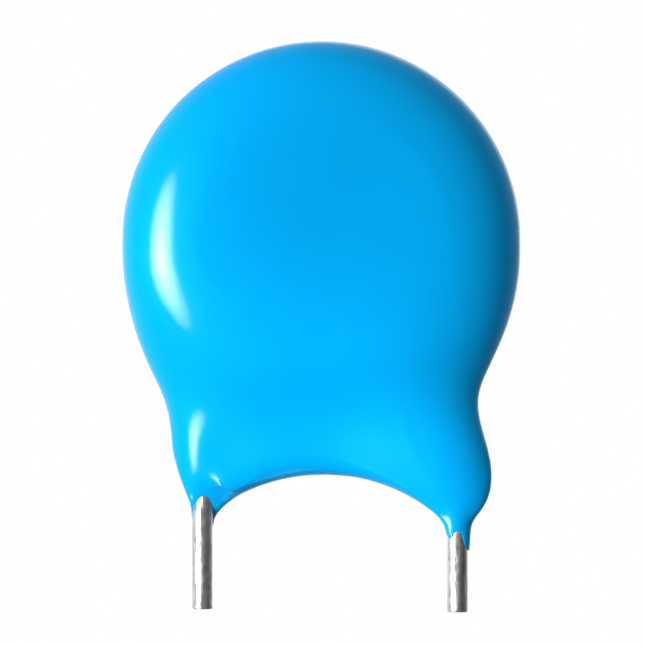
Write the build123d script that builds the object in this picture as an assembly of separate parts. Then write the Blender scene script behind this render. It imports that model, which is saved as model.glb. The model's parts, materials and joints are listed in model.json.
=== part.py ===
from build123d import *
from math import atan2, copysign, cos, degrees, hypot, radians, sqrt, tan
import os

# Upright ceramic disc capacitor. Two round leads are soldered to the two silvered faces of
# a ceramic disc, and a dipped coat covers all of it and runs down onto the leads.
# +Z is up, the front face looks along -Y, and +X is to the right in the front view.
# The origin lies midway between the leads, in the seating plane, where the lowest tip of
# the coat would touch a circuit board. All sizes are in millimetres and degrees.

# Ceramic disc and its two fired-on electrodes
ceramic_diameter = 13.0
ceramic_thickness = 1.8
ceramic_edge_round = 0.15
electrode_margin = 0.5
electrode_thickness = 0.05

# Leads: straight past the seating plane, then leaning inwards over the disc's faces
lead_pitch = 10.0
lead_diameter = 0.8
lead_drop = 2.33
lead_rise = 1.1
lead_lean = 20.0
lead_bend_radius = 6.0
lead_end_above_centre = 0.8

# Solder domes over the buried ends of the leads
solder_length = 6.0
solder_height = 1.1
solder_back_from_end = 2.0

# Coat over the disc: a pillow that is full in the middle and slopes towards a round rim
rim_wall = 1.33
rim_radius = 1.45
pillow_fullness = 0.56
lead_cover = 0.55
disc_shift = -0.31
web_height = 4.37

# Shoulders, where the pillow narrows below its widest level, as shares of its own sizes.
# Each row: depth below the disc's centre, reach to the left, reach to the right, thickness,
# and the angle by which the right side has turned forwards.
shoulder_rows = (
    (0.30, 0.975, 0.972, 0.98, 2.0),
    (0.54, 0.908, 0.888, 0.90, 6.0),
)

# Legs, from the waist down to the feet, measured from the leads.
# Each row: height above the seating plane, coat outside the left lead's axis, coat outside
# the right lead's axis, cover on both faces, and how far the coat lies inside the leads.
leg_rows = (
    (6.08, 1.58, 0.86, 1.20, 0.47),
    (4.67, 1.28, 1.05, 0.95, 0.24),
    (3.05, 1.00, 1.38, 0.72, 0.15),
    (1.95, 0.58, 1.16, 0.45, 0.10),
    (1.20, 0.47, 0.60, 0.16, 0.02),
    (0.50, 0.25, 0.25, -0.15, 0.00),
)
leg_roundness = 0.8
leg_fullness = 0.8

# Arch between the legs: four arcs in the upright plane through both leads
arch_height = 2.98
arch_crown_shift = -0.12
arch_left_foot = 1.27
arch_left_ease = 1.16
arch_left_ease_height = 0.93
arch_right_foot = 0.50
arch_right_ease = 0.38
arch_right_ease_height = 0.95
arch_lead_film = 0.06
arch_edge_radius = 1.3

# Run-downs: the thin film that follows each lead down, and its slanted end
run_down_top = 1.5
run_down_length = 1.9
left_film_top = 0.09
right_film_top = 0.19
film_bottom = 0.08
left_end_front = 2.05
left_end_rear = 0.40
right_end_inside = 0.55
right_end_outside = 0.0
end_overreach = 0.8

# Sizes that follow
lead_radius = lead_diameter / 2
disc_face = ceramic_thickness / 2 + electrode_thickness
lead_offset = disc_face + lead_radius
lead_span = hypot(lead_pitch, 2 * lead_offset)
coat_radius = ceramic_diameter / 2 + rim_wall
coat_half = disc_face + lead_diameter + lead_cover
disc_height = web_height + coat_radius
knee_height = lead_rise + lead_bend_radius * tan(radians(lead_lean / 2))


def ceramic_disc():
    disc = Rot(90, 0, 0) * Cylinder(ceramic_diameter / 2, ceramic_thickness)
    rounded = fillet(disc.edges().filter_by(GeomType.CIRCLE), ceramic_edge_round)
    return Pos(disc_shift, 0, disc_height) * rounded


def electrode(side):
    """Thin silver layer on one face of the ceramic; side is -1 in front and 1 at the rear."""
    middle = side * (ceramic_thickness + electrode_thickness) / 2
    layer = Rot(90, 0, 0) * Cylinder(ceramic_diameter / 2 - electrode_margin, electrode_thickness)
    return Pos(disc_shift, middle, disc_height) * layer


def lead_axis(height):
    """Point on the front lead's centre line, with its knee left sharp."""
    leaning = max(0, height - knee_height)
    return Vector(lead_pitch / 2 - leaning * tan(radians(lead_lean)), -lead_offset, height)


def lead_points():
    """Tip, knee and buried end of the front lead, which stands on the right."""
    return lead_axis(-lead_drop), lead_axis(knee_height), lead_axis(disc_height + lead_end_above_centre)


def front_lead():
    path = FilletPolyline(*lead_points(), radius=lead_bend_radius)
    return sweep(Plane(path @ 0, z_dir=path % 0) * Circle(lead_radius), path)


def front_solder(lead):
    """Half a spindle that stands on the electrode, along the last stretch of the lead."""
    tip, knee, end = lead_points()
    along = (end - knee).normalized()
    centre = end - along * solder_back_from_end
    seat = Plane(origin=(centre.X, -disc_face, centre.Z), x_dir=along, z_dir=(0, -1, 0))
    half = solder_length / 2
    arc = ThreePointArc((-half, 0), (0, solder_height), (half, 0))
    section = make_face([arc, Line((half, 0), (-half, 0))])
    return revolve(seat * section, Axis(seat.origin, along), 180) - lead


def half_turn(shape):
    """The rear lead and solder are the front ones, turned half a turn about the Z axis."""
    return Rot(0, 0, 180) * shape


def oval(left, right, half, roundness, fullness, height, turn):
    """Level section of the coat: four like curves, with round ends and crowned faces.

    Its ends have a radius of half * roundness. It is turned about the line between the leads.
    """
    end = half * roundness
    reach = ((right - left) / 2 - end) / cos(radians(turn)) + end
    flat = reach * fullness
    # a cubic curve whose first handle rises upright starts with the radius 3/2 rise**2 / (reach - flat)
    rise = sqrt(2 / 3 * end * (reach - flat))
    corners = [(reach, 0), (0, half), (-reach, 0), (0, -half), (reach, 0)]
    handles = [(reach, rise), (flat, half), (-flat, half), (-reach, rise),
               (-reach, -rise), (-flat, -half), (flat, -half), (reach, -rise)]
    curves = [Bezier(corners[n], *handles[2 * n:2 * n + 2], corners[n + 1]) for n in range(4)]
    middle = (left + right) / 2
    place = Pos(middle, middle * tan(radians(turn)), height) * Rot(0, 0, turn)
    return place * make_face(curves)


def disc_section(depth, left, right, thickness, turn):
    reach_left = disc_shift - left * coat_radius
    reach_right = disc_shift + right * coat_radius
    height = disc_height - depth * coat_radius
    half = thickness * coat_half
    return oval(reach_left, reach_right, half, rim_radius / coat_half, pillow_fullness, height, -turn)


def leg_section(height, left, right, cover, inside):
    left_end = -lead_pitch / 2 - left
    right_end = lead_pitch / 2 + right
    turn = degrees(atan2(lead_offset - inside, lead_pitch / 2))
    return oval(left_end, right_end, lead_radius + cover, leg_roundness, leg_fullness, height, -turn)


def coat_top():
    """Upper half of the pillow: half of its widest section, revolved over the disc."""
    upright = Plane(origin=(disc_shift, 0, 0), z_dir=(1, 0, 0))
    right_half = split(disc_section(0, 1, 1, 1, 0), upright, keep=Keep.TOP)
    return revolve(right_half, Axis((disc_shift, 0, disc_height), (0, -1, 0)), 180)


def coat_skirt():
    """Lower half, lofted from the pillow's widest section down to the feet.

    The shoulders are mirrored above that section too, so that the skirt leaves it upright,
    and the part above it is split off.
    """
    below = [disc_section(*row) for row in shoulder_rows]
    above = [disc_section(-depth, *rest) for depth, *rest in reversed(shoulder_rows)]
    legs = [leg_section(*row) for row in leg_rows]
    body = loft([*above, disc_section(0, 1, 1, 1, 0), *below, *legs])
    return split(body, Plane(origin=(0, 0, disc_height), z_dir=(0, 0, -1)), keep=Keep.TOP)


def run_down(side, film_top):
    """Film round one lead, thinner towards its end; side is -1 on the left."""
    middle = run_down_top - run_down_length / 2
    film = Cone(lead_radius + film_bottom, lead_radius + film_top, run_down_length)
    return Pos(side * lead_pitch / 2, -side * lead_offset, middle) * film


def arch_void():
    """Opening between the legs, with a cove along its edge that rounds the web's lower rim."""
    web = Plane(origin=(0, 0, 0), x_dir=(lead_pitch, -2 * lead_offset, 0),
                z_dir=(-2 * lead_offset, -lead_pitch, 0))
    foot = lead_span / 2 - lead_radius - arch_lead_film
    left = (-foot, arch_left_foot)
    right = (foot, arch_right_foot)
    crown = (arch_crown_shift, arch_height)
    left_spring = (arch_left_ease - foot, arch_left_foot + arch_left_ease_height)
    right_spring = (foot - arch_right_ease, arch_right_foot + arch_right_ease_height)
    left_arc = TangentArc(crown, left_spring, tangent=(-1, 0))
    left_ease = TangentArc(left_spring, left, tangent=left_arc % 1)
    right_arc = TangentArc(crown, right_spring, tangent=(1, 0))
    right_ease = TangentArc(right_spring, right, tangent=right_arc % 1)
    arcs = [right_ease, right_arc, left_arc, left_ease]
    sides = Polyline(right, (foot, -lead_drop), (-foot, -lead_drop), left)
    opening = extrude(web * make_face([*arcs, *sides.edges()]), 2 * coat_half, both=True)

    radius = arch_edge_radius
    side = 2 * coat_half
    back = -lead_radius
    cove_arc = ThreePointArc((-radius, radius), (0, 0), (radius, radius))
    cove_rim = Polyline((radius, radius), (side, radius), (side, back), (-side, back),
                        (-side, radius), (-radius, radius))
    cove = make_face([cove_arc, *cove_rim.edges()])
    edge = web * Wire(arcs)
    # the cove opens upwards from whichever foot the joined edge starts at
    across = web.z_dir * copysign(1, (edge @ 0).X)
    return opening + sweep(Plane(edge @ 0, x_dir=across, z_dir=edge % 0) * cove, edge)


def below_slant(view, high, low):
    """Wedge under a slanted line through two points of a run-down's end."""
    slope = (low[1] - high[1]) / (low[0] - high[0])
    reach = copysign(end_overreach, low[0] - high[0])
    start = (high[0] - reach, high[1] - slope * reach)
    stop = (low[0] + reach, low[1] + slope * reach)
    floor = stop[1] - lead_diameter
    outline = Polyline(start, stop, (stop[0], floor), (start[0], floor), close=True)
    return extrude(view * make_face(outline), lead_radius + end_overreach, both=True)


def left_end():
    """The left run-down is open in front and reaches lower behind its lead."""
    front = (lead_offset - lead_radius, left_end_front)
    rear = (lead_offset + lead_radius, left_end_rear)
    return Pos(-lead_pitch / 2, 0, 0) * below_slant(Plane.YZ, front, rear)


def right_end():
    """The right run-down ends in a tip on the outer side of its lead."""
    inside = (lead_pitch / 2 - lead_radius, right_end_inside)
    outside = (lead_pitch / 2 + lead_radius, right_end_outside)
    return Pos(0, -lead_offset, 0) * below_slant(Plane.XZ, inside, outside)


def coating(inner_pieces):
    """One dipped coat: everything between its outer form and the pieces that it seals in."""
    body = coat_top() + coat_skirt() + run_down(-1, left_film_top) + run_down(1, right_film_top)
    body = body - arch_void() - left_end() - right_end()
    for piece in inner_pieces:
        body -= piece
    return body


def capacitor():
    lead = front_lead()
    solder = front_solder(lead)
    pieces = {
        "ceramic_disc": ceramic_disc(),
        "front_electrode": electrode(-1),
        "rear_electrode": electrode(1),
        "front_lead": lead,
        "rear_lead": half_turn(lead),
        "front_solder": solder,
        "rear_solder": half_turn(solder),
    }
    pieces["coating"] = coating(list(pieces.values()))
    return pieces


os.makedirs("parts", exist_ok=True)
for name, piece in capacitor().items():
    export_step(piece, f"parts/{name}.step")
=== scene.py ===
import json
from math import cos, pi, radians, sin, tan

import bmesh
import bpy
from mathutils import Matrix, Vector
from mathutils.bvhtree import BVHTree

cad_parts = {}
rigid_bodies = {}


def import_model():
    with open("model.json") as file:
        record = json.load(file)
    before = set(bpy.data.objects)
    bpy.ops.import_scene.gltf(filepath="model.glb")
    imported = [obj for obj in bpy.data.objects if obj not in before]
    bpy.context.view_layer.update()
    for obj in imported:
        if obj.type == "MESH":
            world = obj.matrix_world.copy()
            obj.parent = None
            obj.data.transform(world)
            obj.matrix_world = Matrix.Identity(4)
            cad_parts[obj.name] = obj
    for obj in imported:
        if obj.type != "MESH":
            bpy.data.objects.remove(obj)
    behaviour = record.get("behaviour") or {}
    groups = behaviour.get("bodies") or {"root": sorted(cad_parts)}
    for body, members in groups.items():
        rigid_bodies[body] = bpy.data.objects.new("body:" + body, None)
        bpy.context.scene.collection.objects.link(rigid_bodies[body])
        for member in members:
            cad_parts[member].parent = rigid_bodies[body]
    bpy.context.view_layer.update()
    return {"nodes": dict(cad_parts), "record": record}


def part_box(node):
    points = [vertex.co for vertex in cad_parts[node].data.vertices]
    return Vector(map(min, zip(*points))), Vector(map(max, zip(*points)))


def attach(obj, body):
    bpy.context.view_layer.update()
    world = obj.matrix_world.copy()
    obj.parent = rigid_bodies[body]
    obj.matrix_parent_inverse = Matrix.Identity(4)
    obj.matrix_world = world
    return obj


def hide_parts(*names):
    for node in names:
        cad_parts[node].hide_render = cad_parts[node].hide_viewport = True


# Looks of an upright ceramic disc capacitor: a dipped blue coat, two tinned leads and the
# sealed pieces inside. Everything is in metres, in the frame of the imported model: +Z is up,
# the front face looks along -Y, and the origin is midway between the leads.

bl_info = {
    "name": "Dipped Disc Capacitor",
    "version": (1, 0, 0),
    "blender": (4, 5, 0),
    "location": "3D View > Sidebar > Capacitor",
    "description": "Makes the coat, leads and sealed pieces of a ceramic disc capacitor",
    "category": "Object",
}

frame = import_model()
mounts = {mount["name"]: mount for mount in frame["record"]["mounts"]}
mm = 0.001

BODY = "root"
SEALED = ("ceramic_disc", "front_electrode", "rear_electrode", "front_solder", "rear_solder")
LEADS = ("front_lead", "rear_lead")

TOUCHING = 0.02 * mm        # a coat face this close to a sealed piece is an inner wall
SAME_POINT = 0.001 * mm     # corners this close in a CAD node are one

# drops of coat that round off the cut above each lead
LIP_RADII = (0.72 * mm, 0.55 * mm, 0.8 * mm)
LIP_SEGMENTS = (48, 24)
LIP_HEIGHT = 2.95 * mm
LIP_BEHIND_WIRE = 0.28 * mm
LIP_ACROSS = 0.96           # share of the lead's distance from the middle

# relief of each face of the coat, in mm; a pair is where a form starts and where it ends
RELIEF_SIZES = (
    "Lead Foot", "Lead Knee", "Lead Slope", "Sag Depth", "Sag Place", "Sag Width", "Rim Fall")
SAG_RUNS_OUT = (4, 7.6)
SHOULDER_RUNS_OUT = (1, 9.5)
SHOULDER_FALL = 0.085
SHOULDER_LEAD = 0.5
RIM_STARTS = 4.5
RIM_FORMS = (4, 8)
FACE_FLATNESS = 0.0035
FOOT_THINS = (2.0, 3.2)
FOOT_THICKENS = (3.5, 6.2)
FOOT_DEPTH = 0.4
FOOT_INNER_EDGE = (-1.2, 0.6)
FOOT_OUTER_EDGE = (-5.9, -3.9)
FORMS_BLEND = 0.1

# settling of the wet coat
CREASE_FILL = 0.4           # in mm, how far the skin swells and shrinks again
GRID_BAND = 6               # in cells, and wider than the swelling
FOOT_SETTLING = 90
FOOT_BOTTOM = (2.0, 2.6)    # in mm, as the two below
FOOT_TOP = (5.4, 4.2)
FOOT_SIDE = (2.6, 3.8)

# painted shade: a darker patch on the upper middle of each face, where the coat's form gives too
# little shade; and the resin's random darker clouds
PAINTED_SHADE_MIDDLE = (-1.0 * mm, 0, 14.6 * mm)
PAINTED_SHADE_FADES = (1 * mm, 6 * mm)
PAINTED_SHADE_TONE = 0.87
CLOUD_SHADE = 0.97

WIRE_SIDES = 64
RING_SPACING = 0.05 * mm
BEND_POINTS = 24

# finishes of the sealed pieces: material, two tones, size of the clouds, roughness, depth of
# the relief, and metal or not
SEALED_FINISHES = {
    "ceramic": ("ceramic_titanate", (0.5, 0.4, 0.28), (0.66, 0.56, 0.44),
                0.08 * mm, 0.6, 0.002 * mm, 0),
    "electrode": ("electrode_silver", (0.7, 0.7, 0.68), (0.86, 0.86, 0.84),
                  0.05 * mm, 0.45, 0.002 * mm, 1),
    "solder": ("solder_dome", (0.55, 0.56, 0.58), (0.72, 0.73, 0.75),
               0.4 * mm, 0.24, 0.004 * mm, 1),
}

# the softbox is a stack of lamps, each a little smaller and nearer than the one behind it, so
# that its reflection fades towards its edge
KEY_SHELLS = 8
KEY_AWAY = 0.22
KEY_SHELL_STEP = 0.985
KEY_HALF_WIDTH = 12         # in degrees, as the next
KEY_HALF_HEIGHT = 27
KEY_BELOW = radians(7)
FILL_WAY = (0.25, 0.9, 0.35)
FILL_AWAY = 0.25
FILL_SIZE = 0.36
FILL_RADIANCE = 0.8
FLOOR_RADIUS = 0.06

# colour sockets of a Mix node, which share their names with its number sockets
MIX_LOW, MIX_HIGH, MIX_RESULT = 6, 7, 2


class CoatSettings(bpy.types.PropertyGroup):
    colour: bpy.props.FloatVectorProperty(
        name="Colour", description="Pigment of the dipped coat",
        default=(0.0, 0.42, 0.95), size=3, min=0, max=1, subtype="COLOR")
    gloss: bpy.props.FloatProperty(
        name="Gloss Roughness", description="Roughness of the glassy outer skin of the coat",
        default=0.1, min=0, max=1, subtype="FACTOR")
    haze: bpy.props.FloatProperty(
        name="Haze Roughness", description="Roughness of the pigmented resin below the skin",
        default=0.42, min=0, max=1, subtype="FACTOR")
    cell: bpy.props.FloatProperty(
        name="Cell Size", description="Size of the cells that the coat's surface is made from",
        default=0.088 * mm, min=0.04 * mm, max=0.5 * mm, precision=6, subtype="DISTANCE")
    settling: bpy.props.IntProperty(
        name="Settling Steps", description="How long the wet coat evens out before it sets",
        default=14, min=0, max=100)
    sag_depth: bpy.props.FloatProperty(
        name="Sag Depth", description="Depth of the hollow between the two leads on each face",
        default=0.48 * mm, min=0, max=1 * mm, precision=6, subtype="DISTANCE")
    sag_place: bpy.props.FloatProperty(
        name="Sag Place", description="Distance from a face's lead to the middle of its hollow",
        default=4.3 * mm, min=0, max=10 * mm, precision=6, subtype="DISTANCE")
    sag_width: bpy.props.FloatProperty(
        name="Sag Width", description="Distance over which the hollow rises again",
        default=3.4 * mm, min=0.5 * mm, max=10 * mm, precision=6, subtype="DISTANCE")
    rim_fall: bpy.props.FloatProperty(
        name="Rim Fall", description="How fast a face falls towards the disc's rim, per mm",
        default=0.036, min=0, max=0.2)
    ripple_depth: bpy.props.FloatProperty(
        name="Ripple Depth", description="Height of the slow waves that dipping leaves",
        default=0.03 * mm, min=0, max=0.3 * mm, precision=6, subtype="DISTANCE")
    ripple_size: bpy.props.FloatProperty(
        name="Ripple Size", description="Length of the slow waves that dipping leaves",
        default=5 * mm, min=0.5 * mm, max=20 * mm, precision=6, subtype="DISTANCE")


class LeadSettings(bpy.types.PropertyGroup):
    rise: bpy.props.FloatProperty(
        name="Straight Rise", description="Height above the seating plane where a bend starts",
        default=1.1 * mm, min=0, max=5 * mm, precision=6, subtype="DISTANCE")
    lean: bpy.props.FloatProperty(
        name="Lean", description="Angle at which a lead crosses the disc inside the coat",
        default=radians(20), min=0, max=radians(60), subtype="ANGLE")
    bend: bpy.props.FloatProperty(
        name="Bend Radius", description="Radius of a lead's bend inside the coat",
        default=6 * mm, min=0.5 * mm, max=20 * mm, precision=6, subtype="DISTANCE")
    cut_round: bpy.props.FloatProperty(
        name="Cut Rounding", description="Rounding of the sheared edge at a lead's end",
        default=0.03 * mm, min=0, max=0.2 * mm, precision=6, subtype="DISTANCE")
    tin_depth: bpy.props.FloatProperty(
        name="Tin Depth", description="Height of the unevenness of the hot tin on the wire",
        default=0.004 * mm, min=0, max=0.05 * mm, precision=7, subtype="DISTANCE")
    tin_size: bpy.props.FloatProperty(
        name="Tin Size", description="Width of the unevenness of the hot tin on the wire",
        default=0.18 * mm, min=0.02 * mm, max=2 * mm, precision=6, subtype="DISTANCE")


class StageSettings(bpy.types.PropertyGroup):
    distance: bpy.props.FloatProperty(
        name="Camera Distance", description="Distance from the camera to the part",
        default=0.25, min=0.05, max=2, subtype="DISTANCE")
    view_width: bpy.props.FloatProperty(
        name="View Width", description="Width of the view at the part",
        default=645 / 25.5 * mm, min=0.005, max=0.5, precision=5, subtype="DISTANCE")
    aim: bpy.props.FloatVectorProperty(
        name="Aim", description="Point that the middle of the view looks at",
        default=(-0.267 * mm, 0, 8.96 * mm), size=3, precision=5, subtype="TRANSLATION")
    floor_drop: bpy.props.FloatProperty(
        name="Floor Drop", description="Height of the leads' tips over the floor",
        default=300 * mm, min=0, max=0.5, subtype="DISTANCE")
    key_turn: bpy.props.FloatProperty(
        name="Key Turn", description="Angle from the camera to the softbox on its left",
        default=radians(50), min=0, max=pi / 2, subtype="ANGLE")
    key_power: bpy.props.FloatProperty(
        name="Key Light", description="Radiance of the middle of the softbox",
        default=34.0, min=0, max=100)
    ambient: bpy.props.FloatProperty(
        name="Ambient", description="Strength of the even light from the whole studio",
        default=0.26, min=0, max=2)


def is_socket(value):
    return isinstance(value, bpy.types.NodeSocket)


def add(tree, kind, inputs=None, **settings):
    """Adds a node, with its settings, and its inputs as values or as sockets to link from."""
    node = tree.nodes.new(kind)
    for name, value in settings.items():
        setattr(node, name, value)
    for name, value in (inputs or {}).items():
        if is_socket(value):
            tree.links.new(value, node.inputs[name])
        else:
            node.inputs[name].default_value = value
    return node


def maths(tree, operation, *values):
    """Result of a Math node; the values are numbers or sockets."""
    return add(tree, "ShaderNodeMath", dict(enumerate(values)), operation=operation).outputs[0]


def product(tree, first, *others):
    """All the values multiplied, one after the other."""
    for value in others:
        first = maths(tree, "MULTIPLY", first, value)
    return first


def vector_maths(tree, operation, *values, **named):
    """Result of a Vector Math node; a named value goes to the socket of that name."""
    inputs = {**dict(enumerate(values)), **named}
    node = add(tree, "ShaderNodeVectorMath", inputs, operation=operation)
    return node.outputs["Value" if operation == "LENGTH" else "Vector"]


def ramp(tree, value, start, end, low=0.0, high=1.0, smooth=False):
    """A number that goes from low to high while a value goes from start to end."""
    return add(tree, "ShaderNodeMapRange", {
        "Value": value, "From Min": start, "From Max": end, "To Min": low, "To Max": high,
    }, interpolation_type="SMOOTHSTEP" if smooth else "LINEAR").outputs[0]


def split(tree, vector):
    """The X, Y and Z of a vector, by name."""
    return add(tree, "ShaderNodeSeparateXYZ", {0: vector}).outputs


def distance_on_face(tree, place, middle):
    """Distance from a middle, seen along Y."""
    apart = vector_maths(tree, "SUBTRACT", place, middle)
    return vector_maths(tree, "LENGTH", vector_maths(tree, "MULTIPLY", apart, (1.0, 0.0, 1.0)))


def moved(tree, mesh, **change):
    """A mesh with its points at a new Position, or moved by an Offset."""
    return add(tree, "GeometryNodeSetPosition", {"Geometry": mesh, **change}).outputs[0]


def shaded(tree, mesh, material):
    """The end of a geometry tree: a real mesh, shaded smooth, with its material."""
    smooth = add(tree, "GeometryNodeSetShadeSmooth", {"Geometry": mesh})
    real = add(tree, "GeometryNodeRealizeInstances", {"Geometry": smooth.outputs[0]})
    return add(tree, "GeometryNodeSetMaterial", {
        "Geometry": real.outputs[0], "Material": material}).outputs[0]


def new_tree(name, kind, inputs, outputs):
    """A node tree with named sockets, and its group input and output sockets."""
    tree = bpy.data.node_groups.new(name, kind)
    for direction, sockets in (("INPUT", inputs), ("OUTPUT", outputs)):
        for label, kind_of_socket, *default in sockets:
            socket = tree.interface.new_socket(
                name=label, in_out=direction, socket_type=kind_of_socket)
            if default:
                socket.default_value = default[0]
    given = tree.nodes.new("NodeGroupInput").outputs
    return tree, given, tree.nodes.new("NodeGroupOutput").inputs


def with_nodes(obj, tree, values):
    """Runs a geometry tree on an object with the given inputs, and keeps the plain mesh."""
    modifier = obj.modifiers.new(tree.name, "NODES")
    modifier.node_group = tree
    for item in tree.interface.items_tree:
        if item.item_type == "SOCKET" and item.in_out == "INPUT" and item.name in values:
            modifier[item.identifier] = values[item.name]
    graph = bpy.context.evaluated_depsgraph_get()
    mesh = bpy.data.meshes.new_from_object(obj.evaluated_get(graph), depsgraph=graph)
    if not mesh.polygons:
        raise RuntimeError(f"{tree.name} made no faces for {obj.name}")
    old = obj.data
    finished = bpy.data.objects.new(obj.name, mesh)
    bpy.context.collection.objects.link(finished)
    bpy.data.objects.remove(obj)
    if old.users == 0:
        bpy.data.batch_remove([old])
    return finished


def merged(*nodes):
    """Copies of CAD nodes as one bmesh, with each node's loose triangles joined."""
    mesh = bmesh.new()
    for node in nodes:
        mesh.from_mesh(frame["nodes"][node].data)
    bmesh.ops.remove_doubles(mesh, verts=mesh.verts, dist=SAME_POINT)
    return mesh


def as_object(name, mesh):
    """A new object in the scene, made from a bmesh, which is freed."""
    data = bpy.data.meshes.new(name)
    mesh.to_mesh(data)
    mesh.free()
    obj = bpy.data.objects.new(name, data)
    bpy.context.collection.objects.link(obj)
    return obj


def place_piece(obj, name, node):
    """Names a finished piece, puts it in the body, and hides the CAD node that it stands in for.
    """
    obj.name = name
    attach(obj, BODY)
    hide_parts(node)


def coat_skin():
    """The CAD coat's outer walls alone, with the mouths of both lead channels closed."""
    inner = merged(*SEALED, *LEADS)
    walls = BVHTree.FromBMesh(inner)
    inner.free()
    skin = merged("coating")

    def on_wall(face):
        points = [face.calc_center_median(), *(vert.co for vert in face.verts)]
        return all(walls.find_nearest(point, TOUCHING)[0] is not None for point in points)

    inner_faces = [face for face in skin.faces if on_wall(face)]
    bmesh.ops.delete(skin, geom=inner_faces, context="FACES")
    mouths = [edge for edge in skin.edges if edge.is_boundary]
    bmesh.ops.triangle_fill(skin, use_beauty=True, use_dissolve=False, edges=mouths)
    bmesh.ops.recalc_face_normals(skin, faces=skin.faces)
    open_edges = sum(1 for edge in skin.edges if not edge.is_manifold)
    if open_edges:
        raise RuntimeError(f"the coat's skin has {open_edges} open edges")
    return as_object("coat", skin)


def lips():
    """Drops of coat that round off the cut above each lead, on the side where it is bare."""
    drops = bmesh.new()
    around, along = LIP_SEGMENTS
    for node in LEADS:
        foot = Vector(mounts[f"{node}_pin"]["pos_m"])
        side = 1 if foot.y > 0 else -1
        drop = bmesh.ops.create_uvsphere(
            drops, u_segments=around, v_segments=along, radius=1)["verts"]
        bmesh.ops.scale(drops, verts=drop, vec=LIP_RADII)
        middle = (foot.x * LIP_ACROSS, foot.y - side * LIP_BEHIND_WIRE, LIP_HEIGHT)
        bmesh.ops.translate(drops, verts=drop, vec=middle)
    return as_object("lips", drops)


def drop_crumbs(obj):
    """Deletes the specks that cutting the lead channels leaves loose beside the coat."""
    mesh = bmesh.new()
    mesh.from_mesh(obj.data)
    left = set(mesh.verts)
    islands = []
    while left:
        island = {left.pop()}
        front = list(island)
        while front:
            near = {edge.other_vert(vert) for vert in front for edge in vert.link_edges} & left
            left -= near
            island |= near
            front = list(near)
        islands.append(island)
    largest = max(islands, key=len)
    crumbs = [vert for island in islands if island is not largest for vert in island]
    bmesh.ops.delete(mesh, geom=crumbs, context="VERTS")
    mesh.to_mesh(obj.data)
    mesh.free()


def relief_tree():
    """How far a face of the coat lies behind its CAD shape, in mm, from its place on the face.

    Across runs towards the lead that this face covers. The wet coat sags between the leads,
    falls away beyond the lead, thins over the other lead's foot, and rounds off at the rim.
    """
    tree, given, out = new_tree("Coat relief", "GeometryNodeTree", [
        (name, "NodeSocketFloat") for name in ("Across", "Height", "Radius", *RELIEF_SIZES)
    ], [("Depth", "NodeSocketFloat")])
    across, radius = given["Across"], given["Radius"]

    def by_height(span, at_low, at_high):
        return ramp(tree, given["Height"], *span, at_low, at_high, smooth=True)

    above_knee = maths(tree, "SUBTRACT", given["Height"], given["Lead Knee"])
    rise = maths(tree, "MAXIMUM", above_knee, 0.0)
    line = maths(tree, "SUBTRACT", given["Lead Foot"], product(tree, rise, given["Lead Slope"]))
    beyond = maths(tree, "SUBTRACT", across, line)

    from_hollow = maths(tree, "ADD", beyond, given["Sag Place"])
    step = maths(tree, "DIVIDE", from_hollow, given["Sag Width"])
    bell = maths(tree, "EXPONENT", product(tree, step, step, -1.0))
    sag = product(tree, given["Sag Depth"], by_height(SAG_RUNS_OUT, 1, 0), bell)

    outside = maths(tree, "MAXIMUM", maths(tree, "ADD", beyond, SHOULDER_LEAD), 0.0)
    shoulder = product(
        tree, outside, outside, by_height(SHOULDER_RUNS_OUT, SHOULDER_FALL, 0))

    near_rim = maths(tree, "MAXIMUM", maths(tree, "SUBTRACT", radius, RIM_STARTS), 0.0)
    fall = product(tree, near_rim, near_rim, given["Rim Fall"])
    crown = product(tree, radius, radius, FACE_FLATNESS)
    rim = product(tree, maths(tree, "SUBTRACT", fall, crown), by_height(RIM_FORMS, 0, 1))

    window = product(
        tree, by_height(FOOT_THINS, 0, FOOT_DEPTH), by_height(FOOT_THICKENS, 1, 0))
    inner = ramp(tree, across, *FOOT_INNER_EDGE, 1, 0, smooth=True)
    outer = ramp(tree, across, *FOOT_OUTER_EDGE, 0, 1, smooth=True)
    thin_foot = product(tree, inner, outer, window)

    hollow = maths(tree, "SMOOTH_MAX", sag, thin_foot, FORMS_BLEND)
    depth = maths(tree, "ADD", maths(tree, "ADD", hollow, shoulder), rim)
    tree.links.new(depth, out["Depth"])
    return tree


def filled_skin(tree, skin, drops, cell):
    """The skin and its drops as one surface, a thousand times its size, creases filled."""
    whole = add(tree, "GeometryNodeMeshBoolean", {"Mesh 2": skin},
                operation="UNION", solver="MANIFOLD")
    tree.links.new(drops, whole.inputs["Mesh 2"])
    # the grid takes no cells this small, so it works at a thousand times the size
    mesh = add(tree, "GeometryNodeTransform", {
        "Geometry": whole.outputs[0], "Scale": (1 / mm,) * 3}).outputs[0]
    # swelling the skin and shrinking it again fills the creases, as the wet resin does
    for threshold in (CREASE_FILL, -CREASE_FILL):
        grid = add(tree, "GeometryNodeMeshToSDFGrid", {
            "Mesh": mesh, "Voxel Size": cell, "Band Width": GRID_BAND})
        mesh = add(tree, "GeometryNodeGridToMesh", {
            "Grid": grid.outputs[0], "Threshold": threshold}).outputs[0]
    return mesh


def sunk_faces(tree, given, mesh, position, normal):
    """Both faces of the enlarged skin with their relief, which mirrors by half a turn."""
    place = split(tree, position)
    facing = split(tree, normal)["Y"]
    inputs = {
        "Across": product(tree, maths(tree, "SIGN", facing), -1.0, place["X"]),
        "Height": place["Z"],
        "Radius": distance_on_face(tree, position, given["Disc Middle"]),
        **{name: given[name] for name in RELIEF_SIZES},
    }
    relief = tree.nodes.new("GeometryNodeGroup")
    relief.node_tree = relief_tree()
    for name, source in inputs.items():
        tree.links.new(source, relief.inputs[name])
    back = product(tree, relief.outputs["Depth"], facing, -1.0)
    return moved(tree, mesh, Offset=add(tree, "ShaderNodeCombineXYZ", {"Y": back}).outputs[0])


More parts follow.
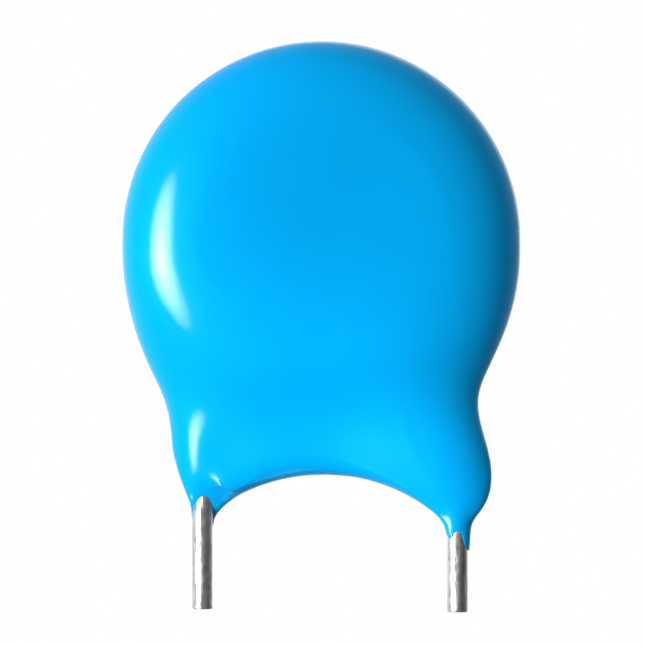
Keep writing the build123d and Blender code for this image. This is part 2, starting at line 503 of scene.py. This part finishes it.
def evened(tree, mesh, position, steps, weight=1.0):
    """A mesh whose points are averaged with their neighbours, so many times."""
    even = add(tree, "GeometryNodeBlurAttribute", {
        "Value": position, "Iterations": steps, "Weight": weight}, data_type="FLOAT_VECTOR")
    return moved(tree, mesh, Position=even.outputs[0])


def foot_weight(tree, position, normal):
    """Full over each lead's foot, on the side where the wire is bare, and none elsewhere."""
    place = split(tree, position)
    aside = product(tree, place["X"], split(tree, normal)["Y"])
    edges = ((place["Z"], FOOT_BOTTOM), (place["Z"], FOOT_TOP), (aside, FOOT_SIDE))
    return product(tree, *(
        ramp(tree, value, none * mm, full * mm) for value, (none, full) in edges))


def dipped_coat_tree():
    """Turns the skin into one smooth wet surface, and cuts the leads' channels from it."""
    tree, given, out = new_tree("Dipped coat", "GeometryNodeTree", [
        ("Geometry", "NodeSocketGeometry"),
        ("Leads", "NodeSocketObject"),
        ("Lips", "NodeSocketObject"),
        ("Disc Middle", "NodeSocketVector"),
        *((name, "NodeSocketFloat") for name in RELIEF_SIZES),
        ("Cell Size", "NodeSocketFloat"),
        ("Settling Steps", "NodeSocketInt"),
        ("Ripple Depth", "NodeSocketFloat"),
        ("Ripple Size", "NodeSocketFloat"),
        ("Material", "NodeSocketMaterial"),
    ], [("Geometry", "NodeSocketGeometry")])
    position = add(tree, "GeometryNodeInputPosition").outputs[0]
    normal = add(tree, "GeometryNodeInputNormal").outputs[0]
    drops = add(tree, "GeometryNodeObjectInfo", {"Object": given["Lips"]}).outputs["Geometry"]
    cell = maths(tree, "DIVIDE", given["Cell Size"], mm)
    skin = filled_skin(tree, given["Geometry"], drops, cell)
    sunk = sunk_faces(tree, given, skin, position, normal)
    small = add(tree, "GeometryNodeTransform", {"Geometry": sunk, "Scale": (mm,) * 3}).outputs[0]

    settled = evened(tree, small, position, given["Settling Steps"])
    # the resin evens out for longest over each foot
    settled = evened(tree, settled, position, FOOT_SETTLING, foot_weight(tree, position, normal))

    wave = add(tree, "ShaderNodeTexNoise", {
        "Vector": position, "Scale": maths(tree, "DIVIDE", 1.0, given["Ripple Size"]),
        "Detail": 1.0, "Roughness": 0.4})
    height = product(tree, maths(tree, "SUBTRACT", wave.outputs[0], 0.5), given["Ripple Depth"])
    rippled = moved(tree, settled, Offset=vector_maths(tree, "SCALE", normal, Scale=height))

    leads = add(tree, "GeometryNodeObjectInfo", {"Object": given["Leads"]}).outputs["Geometry"]
    cut = add(tree, "GeometryNodeMeshBoolean", {"Mesh 1": rippled, "Mesh 2": leads},
              operation="DIFFERENCE", solver="MANIFOLD")
    tree.links.new(shaded(tree, cut.outputs[0], given["Material"]), out["Geometry"])
    return tree


def wire_tree():
    """Sweeps a round wire along a bent line, with a rounded cut end and uneven tin on it."""
    tree, given, out = new_tree("Tinned wire", "GeometryNodeTree", [
        ("Geometry", "NodeSocketGeometry"),
        ("Diameter", "NodeSocketFloat"),
        ("Bend Radius", "NodeSocketFloat"),
        ("Cut Rounding", "NodeSocketFloat"),
        ("Ring Spacing", "NodeSocketFloat"),
        ("Tin Depth", "NodeSocketFloat"),
        ("Tin Size", "NodeSocketFloat"),
        ("Material", "NodeSocketMaterial"),
    ], [("Geometry", "NodeSocketGeometry")])
    bent = add(tree, "GeometryNodeFilletCurve", {
        "Curve": given["Geometry"], "Count": BEND_POINTS, "Radius": given["Bend Radius"],
        "Limit Radius": True}, mode="POLY")
    line = add(tree, "GeometryNodeResampleCurve", {
        "Curve": bent.outputs[0], "Length": given["Ring Spacing"]}, mode="LENGTH")

    radius = maths(tree, "DIVIDE", given["Diameter"], 2.0)
    along = add(tree, "GeometryNodeSplineParameter").outputs["Length"]
    short = maths(tree, "SUBTRACT", 1.0, maths(tree, "DIVIDE", along, given["Cut Rounding"]))
    squared = maths(tree, "POWER", maths(tree, "MAXIMUM", short, 0.0), 2.0)
    rounding = product(tree, squared, given["Cut Rounding"])
    ring = add(tree, "GeometryNodeCurvePrimitiveCircle", {
        "Resolution": WIRE_SIDES, "Radius": 1.0})
    swept = add(tree, "GeometryNodeCurveToMesh", {
        "Curve": line.outputs[0], "Profile Curve": ring.outputs[0],
        "Scale": maths(tree, "SUBTRACT", radius, rounding), "Fill Caps": True})

    position = add(tree, "GeometryNodeInputPosition").outputs[0]
    lumps = add(tree, "ShaderNodeTexNoise", {
        "Vector": vector_maths(tree, "MULTIPLY", position, (1.0, 1.0, 0.3)),
        "Scale": maths(tree, "DIVIDE", 1.0, given["Tin Size"]), "Detail": 2.0})
    height = product(tree, maths(tree, "SUBTRACT", lumps.outputs[0], 0.5), given["Tin Depth"])
    normal = add(tree, "GeometryNodeInputNormal").outputs[0]
    uneven = moved(
        tree, swept.outputs[0], Offset=vector_maths(tree, "SCALE", normal, Scale=height))
    tree.links.new(shaded(tree, uneven, given["Material"]), out["Geometry"])
    return tree


def knee_height(settings):
    """Height at which a lead's straight rise and its lean would meet in a corner."""
    return settings.rise + settings.bend * tan(settings.lean / 2)


def lead_line(node, settings):
    """A lead's centre line as a cornered curve, from tip to buried end, and its diameter."""
    foot = Vector(mounts[f"{node}_pin"]["pos_m"])
    radius = mounts[f"{node}_pin"]["dims"]["r_mm"] * mm
    low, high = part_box(node)
    side = 1 if foot.x > 0 else -1
    knee = knee_height(settings)
    top = high.z - radius * sin(settings.lean)
    inwards = (top - knee) * tan(settings.lean)
    points = [(foot.x, low.z), (foot.x, knee), (foot.x - side * inwards, top)]
    curve = bpy.data.curves.new(node, "CURVE")
    curve.dimensions = "3D"
    spline = curve.splines.new("POLY")
    spline.points.add(len(points) - 1)
    for point, (x, z) in zip(spline.points, points):
        point.co = (x, foot.y, z, 1)
    obj = bpy.data.objects.new(node, curve)
    bpy.context.collection.objects.link(obj)
    return obj, 2 * radius


def grain_group():
    """Cloudy unevenness that all finishes share: a mask, and a height for bump."""
    tree, given, out = new_tree("Uneven finish", "ShaderNodeTree", [
        ("Size", "NodeSocketFloat", 0.0005),
        ("Stretch", "NodeSocketVector", (1, 1, 1)),
        ("Detail", "NodeSocketFloat", 3.0),
    ], [("Mask", "NodeSocketFloat"), ("Height", "NodeSocketFloat")])
    place = add(tree, "ShaderNodeTexCoord").outputs["Object"]
    clouds = add(tree, "ShaderNodeTexNoise", {
        "Vector": vector_maths(tree, "MULTIPLY", place, given["Stretch"]),
        "Scale": maths(tree, "DIVIDE", 1.0, given["Size"]), "Detail": given["Detail"]})
    tree.links.new(ramp(tree, clouds.outputs[0], 0.3, 0.7), out["Mask"])
    tree.links.new(clouds.outputs[0], out["Height"])
    return tree


def shared_grain():
    """The group of the uneven finish, built once."""
    return bpy.data.node_groups.get("Uneven finish") or grain_group()


def finish(name):
    """A new material, its tree and its Principled shader."""
    material = bpy.data.materials.new(name)
    material.use_nodes = True
    return material, material.node_tree, material.node_tree.nodes["Principled BSDF"]


def grain(tree, size, stretch=(1, 1, 1), detail=4.0):
    """The outputs of an uneven finish placed in a material, with its own values."""
    node = tree.nodes.new("ShaderNodeGroup")
    node.node_tree = shared_grain()
    for name, value in (("Size", size), ("Stretch", stretch), ("Detail", detail)):
        node.inputs[name].default_value = value
    return node.outputs


def mixed(tree, mask, low, high):
    """A colour between two, by a mask; each is a colour or a socket."""
    ends = {index: end if is_socket(end) else (*end, 1)
            for index, end in ((MIX_LOW, low), (MIX_HIGH, high))}
    node = add(tree, "ShaderNodeMix", {"Factor": mask, **ends}, data_type="RGBA")
    return node.outputs[MIX_RESULT]


def bumped(tree, height, depth, shader):
    """Gives a shader fine relief of a depth, from a height."""
    bump = add(tree, "ShaderNodeBump", {"Height": height, "Distance": depth, "Strength": 1.0})
    tree.links.new(bump.outputs[0], shader.inputs["Normal"])


def coat_material(settings):
    """Blue resin under a glassy skin, with random darker clouds and painted shade: a darker
    patch on the upper middle of each face.
    """
    material, tree, shader = finish("coat_resin")
    colour = Vector(settings.colour)
    clouds = grain(tree, 2.5 * mm, detail=2.0)
    place = add(tree, "ShaderNodeTexCoord").outputs["Object"]
    # painted shade: the coat's colour darkens towards a point on the upper middle of each face
    reach = distance_on_face(tree, place, PAINTED_SHADE_MIDDLE)
    painted_shade = ramp(tree, reach, *PAINTED_SHADE_FADES, 1, 0, smooth=True)
    resin = mixed(tree, clouds["Mask"], colour * CLOUD_SHADE, colour)
    tree.links.new(mixed(tree, painted_shade, resin, colour * PAINTED_SHADE_TONE), shader.inputs["Base Color"])
    peel = grain(tree, 0.6 * mm, detail=1.0)
    haze = ramp(tree, peel["Mask"], 0, 1, settings.haze - 0.04, settings.haze)
    tree.links.new(haze, shader.inputs["Roughness"])
    bumped(tree, peel["Height"], 0.002 * mm, shader)
    shader.inputs["Coat Weight"].default_value = 1.0
    shader.inputs["Coat Roughness"].default_value = settings.gloss
    shader.inputs["Coat IOR"].default_value = 1.4
    shader.inputs["Specular IOR Level"].default_value = 0.4
    shader.inputs["Specular Tint"].default_value = (0.0, 0.8, 1.0, 1)
    return material


def lead_material():
    """Hot tin on wire: patchy, with fine streaks along it."""
    material, tree, shader = finish("lead_tin")
    streaks = grain(tree, 0.12 * mm, stretch=(1, 1, 0.12))
    patches = grain(tree, 0.14 * mm, stretch=(1, 1, 0.45), detail=3.0)
    tin = mixed(tree, patches["Mask"], (0.52, 0.51, 0.5), (0.84, 0.84, 0.84))
    tree.links.new(tin, shader.inputs["Base Color"])
    tree.links.new(ramp(tree, streaks["Mask"], 0, 1, 0.34, 0.5), shader.inputs["Roughness"])
    bumped(tree, patches["Height"], 0.025 * mm, shader)
    shader.inputs["Metallic"].default_value = 0.85
    return material


def sealed_material(name, low, high, size, roughness, depth, metallic):
    """Finish of a piece inside the coat: two tones, a roughness and fine relief."""
    material, tree, shader = finish(name)
    tone = grain(tree, size)
    tree.links.new(mixed(tree, tone["Mask"], low, high), shader.inputs["Base Color"])
    rough = ramp(tree, tone["Mask"], 0, 1, roughness - 0.06, roughness + 0.06)
    tree.links.new(rough, shader.inputs["Roughness"])
    bumped(tree, tone["Height"], depth, shader)
    shader.inputs["Metallic"].default_value = metallic
    return material


class DrawLeads(bpy.types.Operator):
    """Sweeps both tinned leads along their lines"""
    bl_idname = "capacitor.draw_leads"
    bl_label = "Draw Leads"

    def execute(self, context):
        settings = context.scene.capacitor_leads
        tree = wire_tree()
        material = lead_material()
        for node in LEADS:
            line, diameter = lead_line(node, settings)
            wire = with_nodes(line, tree, {
                "Diameter": diameter, "Bend Radius": settings.bend,
                "Cut Rounding": settings.cut_round, "Ring Spacing": RING_SPACING,
                "Tin Depth": settings.tin_depth, "Tin Size": settings.tin_size,
                "Material": material})
            place_piece(wire, f"{node}_wire", node)
        return {"FINISHED"}


class DipCoat(bpy.types.Operator):
    """Makes the dipped coat with its run-downs on the leads"""
    bl_idname = "capacitor.dip_coat"
    bl_label = "Dip Coat"

    def execute(self, context):
        settings = context.scene.capacitor_coat
        bend = context.scene.capacitor_leads
        plug = as_object("plug", merged(*LEADS))
        drops = lips()
        low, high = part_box("ceramic_disc")
        coat = with_nodes(coat_skin(), dipped_coat_tree(), {
            "Leads": plug, "Lips": drops, "Disc Middle": (low + high) / 2 / mm,
            "Lead Foot": mounts["front_lead_pin"]["pos_m"][0] / mm,
            "Lead Knee": knee_height(bend) / mm, "Lead Slope": tan(bend.lean),
            "Sag Depth": settings.sag_depth / mm, "Sag Place": settings.sag_place / mm,
            "Sag Width": settings.sag_width / mm, "Rim Fall": settings.rim_fall,
            "Cell Size": settings.cell, "Settling Steps": settings.settling,
            "Ripple Depth": settings.ripple_depth, "Ripple Size": settings.ripple_size,
            "Material": coat_material(settings)})
        for helper in (plug, drops):
            bpy.data.objects.remove(helper)
        drop_crumbs(coat)
        place_piece(coat, "dipped_coat", "coating")
        return {"FINISHED"}


class FinishSealed(bpy.types.Operator):
    """Gives the sealed pieces their ceramic, silver and solder finishes"""
    bl_idname = "capacitor.finish_sealed"
    bl_label = "Finish Sealed Pieces"

    def execute(self, context):
        for kind, values in SEALED_FINISHES.items():
            material = sealed_material(*values)
            for node in SEALED:
                if kind in node:
                    for slot in frame["nodes"][node].material_slots:
                        slot.material = material
        return {"FINISHED"}


def area_lamp(name, radiance, width, height, place, aim):
    """A soft oval lamp at a place, turned to a point, with the same radiance at any size."""
    data = bpy.data.lights.new(name, "AREA")
    data.shape = "ELLIPSE"
    data.size = width
    data.size_y = height
    data.energy = radiance * data.size * data.size_y * pi * pi / 4
    lamp = bpy.data.objects.new(name, data)
    lamp.location = place
    lamp.rotation_euler = (aim - place).to_track_quat("-Z", "Y").to_euler()
    lamp.visible_camera = False
    bpy.context.collection.objects.link(lamp)


def floor_material():
    """Pale matt floor that looks near white to the camera and still shows a shadow."""
    material, tree, shader = finish("stage_floor")
    tree.nodes.remove(shader)
    matt = add(tree, "ShaderNodeBsdfDiffuse", {"Color": (0.82, 0.82, 0.82, 1)})
    seen = add(tree, "ShaderNodeLightPath").outputs["Is Camera Ray"]
    glow = add(tree, "ShaderNodeEmission", {
        "Color": (1, 1, 1, 1), "Strength": product(tree, seen, 0.4)})
    both = add(tree, "ShaderNodeAddShader", {0: matt.outputs[0], 1: glow.outputs[0]})
    tree.links.new(both.outputs[0], tree.nodes["Material Output"].inputs["Surface"])
    return material


def pale_floor(height):
    """A round floor at a height, as part of the stage."""
    floor = bpy.data.objects.new("floor", bpy.data.meshes.new("floor"))
    disc = bmesh.new()
    bmesh.ops.create_circle(disc, cap_ends=True, segments=96, radius=FLOOR_RADIUS)
    bmesh.ops.translate(disc, verts=disc.verts, vec=(0, 0, height))
    disc.to_mesh(floor.data)
    disc.free()
    floor.data.materials.append(floor_material())
    bpy.context.collection.objects.link(floor)


def studio_world(ambient):
    """White behind the part, which gloss and metal mirror too, and a dim room in front."""
    world = bpy.data.worlds.new("studio")
    world.use_nodes = True
    tree = world.node_tree
    way = split(tree, add(tree, "ShaderNodeTexCoord").outputs["Generated"])
    leftwards = ramp(tree, way["X"], 0.9, -0.9, 0.55, 1.0)
    behind = ramp(tree, way["Y"], -0.1, 0.7)
    not_below = ramp(tree, way["Z"], -0.9, -0.3)
    mirrored = maths(tree, "ADD", product(tree, leftwards, behind, not_below), 0.01)
    from_above = maths(tree, "MULTIPLY_ADD", way["Z"], 0.8, 1.0)
    soft = product(tree, from_above, ambient)
    rays = add(tree, "ShaderNodeLightPath").outputs
    room = add(tree, "ShaderNodeMix", {
        "Factor": rays["Is Glossy Ray"], "A": soft, "B": mirrored}, data_type="FLOAT")
    clear = maths(tree, "MAXIMUM", rays["Is Camera Ray"], rays["Is Transmission Ray"])
    level = add(tree, "ShaderNodeMix", {
        "Factor": clear, "A": room.outputs[0], "B": 1.0}, data_type="FLOAT")
    sky = tree.nodes["Background"]
    sky.inputs["Color"].default_value = (1, 1, 1, 1)
    tree.links.new(level.outputs[0], sky.inputs["Strength"])
    bpy.context.scene.world = world


def softbox(aim, turn, power):
    """The key light, to the left of the camera and a little below the part's middle."""
    way = Vector((-sin(turn) * cos(KEY_BELOW), -cos(turn) * cos(KEY_BELOW), -sin(KEY_BELOW)))
    away = KEY_AWAY
    for shell in range(KEY_SHELLS):
        part = 1 - shell / KEY_SHELLS
        width = 2 * away * tan(radians(KEY_HALF_WIDTH * part))
        height = 2 * away * tan(radians(KEY_HALF_HEIGHT * part))
        area_lamp(f"key_{shell}", power / KEY_SHELLS, width, height, aim + away * way, aim)
        away *= KEY_SHELL_STEP


class SetStage(bpy.types.Operator):
    """Sets the floor, the lamps, the white surroundings and the camera"""
    bl_idname = "capacitor.set_stage"
    bl_label = "Set Stage"

    def execute(self, context):
        settings = context.scene.capacitor_stage
        context.scene.view_settings.view_transform = "Standard"
        aim = Vector(settings.aim)
        lens = bpy.data.cameras.new("camera")
        lens.lens = lens.sensor_width * settings.distance / settings.view_width
        lens.clip_start = 1 * mm
        camera = bpy.data.objects.new("camera", lens)
        camera.location = aim - Vector((0, settings.distance, 0))
        camera.rotation_euler = (pi / 2, 0, 0)
        context.collection.objects.link(camera)
        context.scene.camera = camera

        low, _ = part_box("front_lead")
        pale_floor(low.z - settings.floor_drop)
        studio_world(settings.ambient)
        softbox(aim, settings.key_turn, settings.key_power)
        behind = aim + FILL_AWAY * Vector(FILL_WAY).normalized()
        area_lamp("fill_behind", FILL_RADIANCE, FILL_SIZE, FILL_SIZE, behind, aim)
        return {"FINISHED"}


class CapacitorPanel(bpy.types.Panel):
    """Lists the steps that make the capacitor, with their settings"""
    bl_idname = "VIEW3D_PT_capacitor"
    bl_label = "Disc Capacitor"
    bl_space_type = "VIEW_3D"
    bl_region_type = "UI"
    bl_category = "Capacitor"

    def draw(self, context):
        for step, group in STEPS:
            box = self.layout.box()
            box.operator(step.bl_idname)
            if group:
                settings = getattr(context.scene, group)
                for name in settings.bl_rna.properties.keys():
                    if name not in ("rna_type", "name"):
                        box.prop(settings, name)


STEPS = (
    (DrawLeads, "capacitor_leads"),
    (DipCoat, "capacitor_coat"),
    (FinishSealed, None),
    (SetStage, "capacitor_stage"),
)
SETTINGS = {
    "capacitor_coat": CoatSettings,
    "capacitor_leads": LeadSettings,
    "capacitor_stage": StageSettings,
}


def register():
    for name, group in SETTINGS.items():
        bpy.utils.register_class(group)
        setattr(bpy.types.Scene, name, bpy.props.PointerProperty(type=group))
    for step, _ in STEPS:
        bpy.utils.register_class(step)
    bpy.utils.register_class(CapacitorPanel)


def unregister():
    bpy.utils.unregister_class(CapacitorPanel)
    for step, _ in reversed(STEPS):
        bpy.utils.unregister_class(step)
    for name, group in reversed(SETTINGS.items()):
        delattr(bpy.types.Scene, name)
        bpy.utils.unregister_class(group)


def main():
    register()
    bpy.ops.capacitor.draw_leads()
    bpy.ops.capacitor.dip_coat()
    bpy.ops.capacitor.finish_sealed()
    bpy.ops.capacitor.set_stage()


if __name__ == "__main__":
    main()
